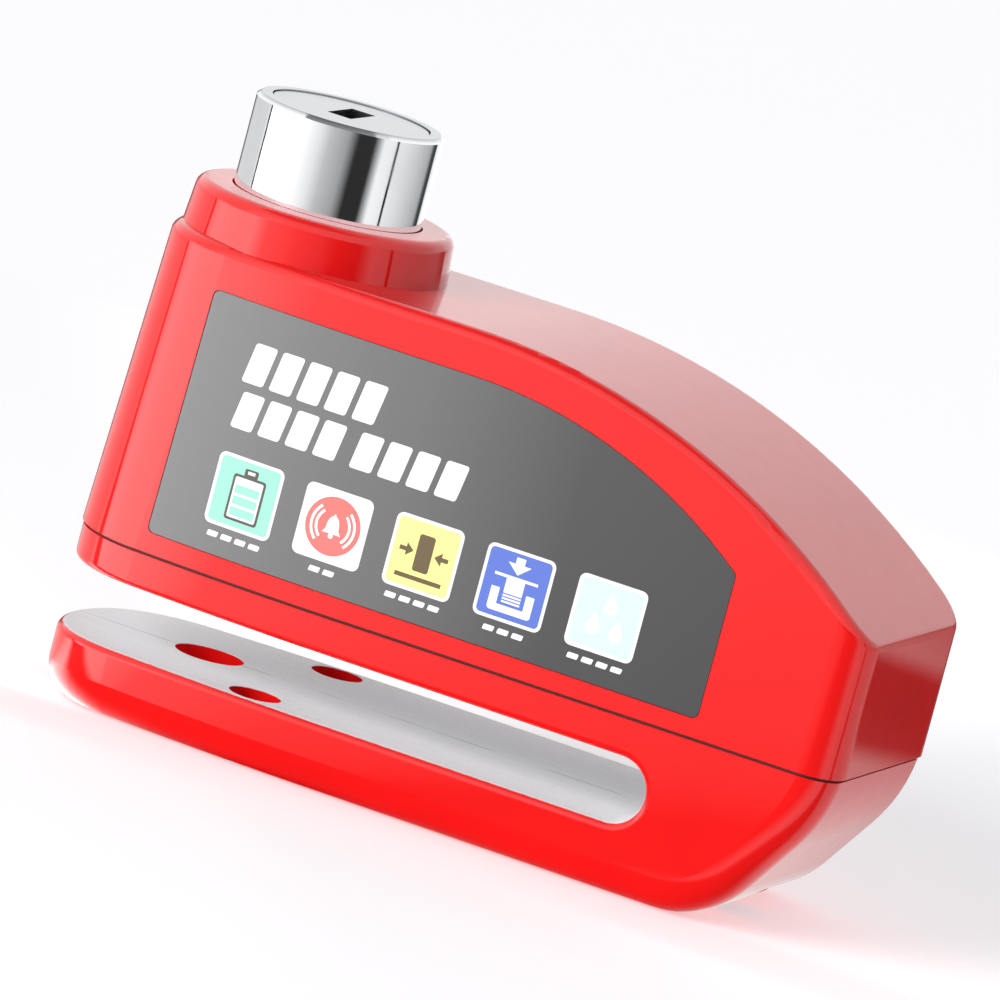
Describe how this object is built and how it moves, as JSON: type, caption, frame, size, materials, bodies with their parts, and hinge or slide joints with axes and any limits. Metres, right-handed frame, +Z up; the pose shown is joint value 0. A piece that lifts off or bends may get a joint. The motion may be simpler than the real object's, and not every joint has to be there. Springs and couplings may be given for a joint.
{
  "type": "disc brake lock",
  "caption": "Disc brake lock with a push-down key cylinder over the jaws, a locking pin across the disc slot and a battery siren inside a red cast body.",
  "frame": {"origin": "on the axis of the locking pin, at the bottom face of the lower jaw", "axes": "+X from the locking pin to the block behind the disc slot, +Y to the back of the lock, away from the label, +Z up through the lock cylinder"},
  "size_m": [0.0966, 0.0338, 0.0714],
  "materials": {
    "body_paint": "gloss red paint over cast light alloy; the faces of the disc slot are bare and grey",
    "seal_rubber": "satin black",
    "label_film": "satin dark grey film with white-edged colour tiles",
    "lock_chrome": "polished chrome plate",
    "hardened_steel": "ground and plated steel",
    "spring_steel": "drawn wire",
    "sleeve_alloy": "turned, bare",
    "brass": "turned, bare",
    "board": "green solder mask",
    "black_plastic": "moulded",
    "actuator_plastic": "moulded natural white",
    "nickel": "nickel plated",
    "foam": "closed-cell foam",
    "ceramic": "silvered ceramic",
    "ferrite": "ferrite core",
    "capacitor_sleeve": "shrink sleeve",
    "lead_insulation": "insulated wire"
  },
  "bodies": {
    "housing": {"lower_body": "body_paint", "upper_shell": "body_paint", "parting_gasket": "seal_rubber", "front_label": "label_film", "barrel_sleeve": "sleeve_alloy", "wiper_ring": "seal_rubber", "pin_bushing": "hardened_steel", "front_screws": "hardened_steel", "rear_screw": "hardened_steel", "return_spring": "spring_steel", "circuit_board": "board", "board_screws": "hardened_steel", "arming_switch": "black_plastic", "control_chip": "black_plastic", "boost_coil": "ferrite", "capacitor": "capacitor_sleeve", "sensor_can": "black_plastic", "sensor_spring": "spring_steel", "battery_tray": "black_plastic", "button_cells": "nickel", "contact_strip": "nickel", "battery_springs": "spring_steel", "battery_foam": "foam", "siren_housing": "black_plastic", "siren_diaphragm": "brass", "piezo_element": "ceramic", "siren_cap": "black_plastic", "siren_seal": "foam", "siren_leads": "lead_insulation"},
    "barrel": {"lock_barrel": "lock_chrome", "locking_pin": "hardened_steel", "cross_pin": "hardened_steel", "plug_clip": "hardened_steel", "driver_pins": "brass", "driver_springs": "spring_steel", "chamber_cover": "brass"},
    "plug": {"key_plug": "lock_chrome", "key_pins": "brass"},
    "latch": {"latch_bolt": "hardened_steel"},
    "plunger": {"switch_plunger": "actuator_plastic"}
  },
  "joints": [
    {"name": "barrel_slide", "type": "slide", "parent": "housing", "child": "barrel", "axis": [0, 0, -1], "range_m": [0, 0.0104], "stiffness_N_per_m": 960, "springref_m": -0.006, "deforming": ["return_spring"]},
    {"name": "plug_turn", "type": "hinge", "parent": "barrel", "child": "plug", "pos_m": [0, 0, 0.06], "axis": [0, 0, 1], "range_deg": [0, 90]},
    {"name": "latch_slide", "type": "slide", "parent": "barrel", "child": "latch", "axis": [0, 1, 0], "range_m": [0, 0.00162]},
    {"name": "plunger_slide", "type": "slide", "parent": "housing", "child": "plunger", "axis": [1, 0, 0], "range_m": [0, 0.00162]}
  ],
  "couplings": [
    {"joint": "latch_slide", "follows": "plug_turn", "m_per_rad": 0.0010186},
    {"joint": "plunger_slide", "follows": "barrel_slide", "ratio": 0.15385}
  ]
}
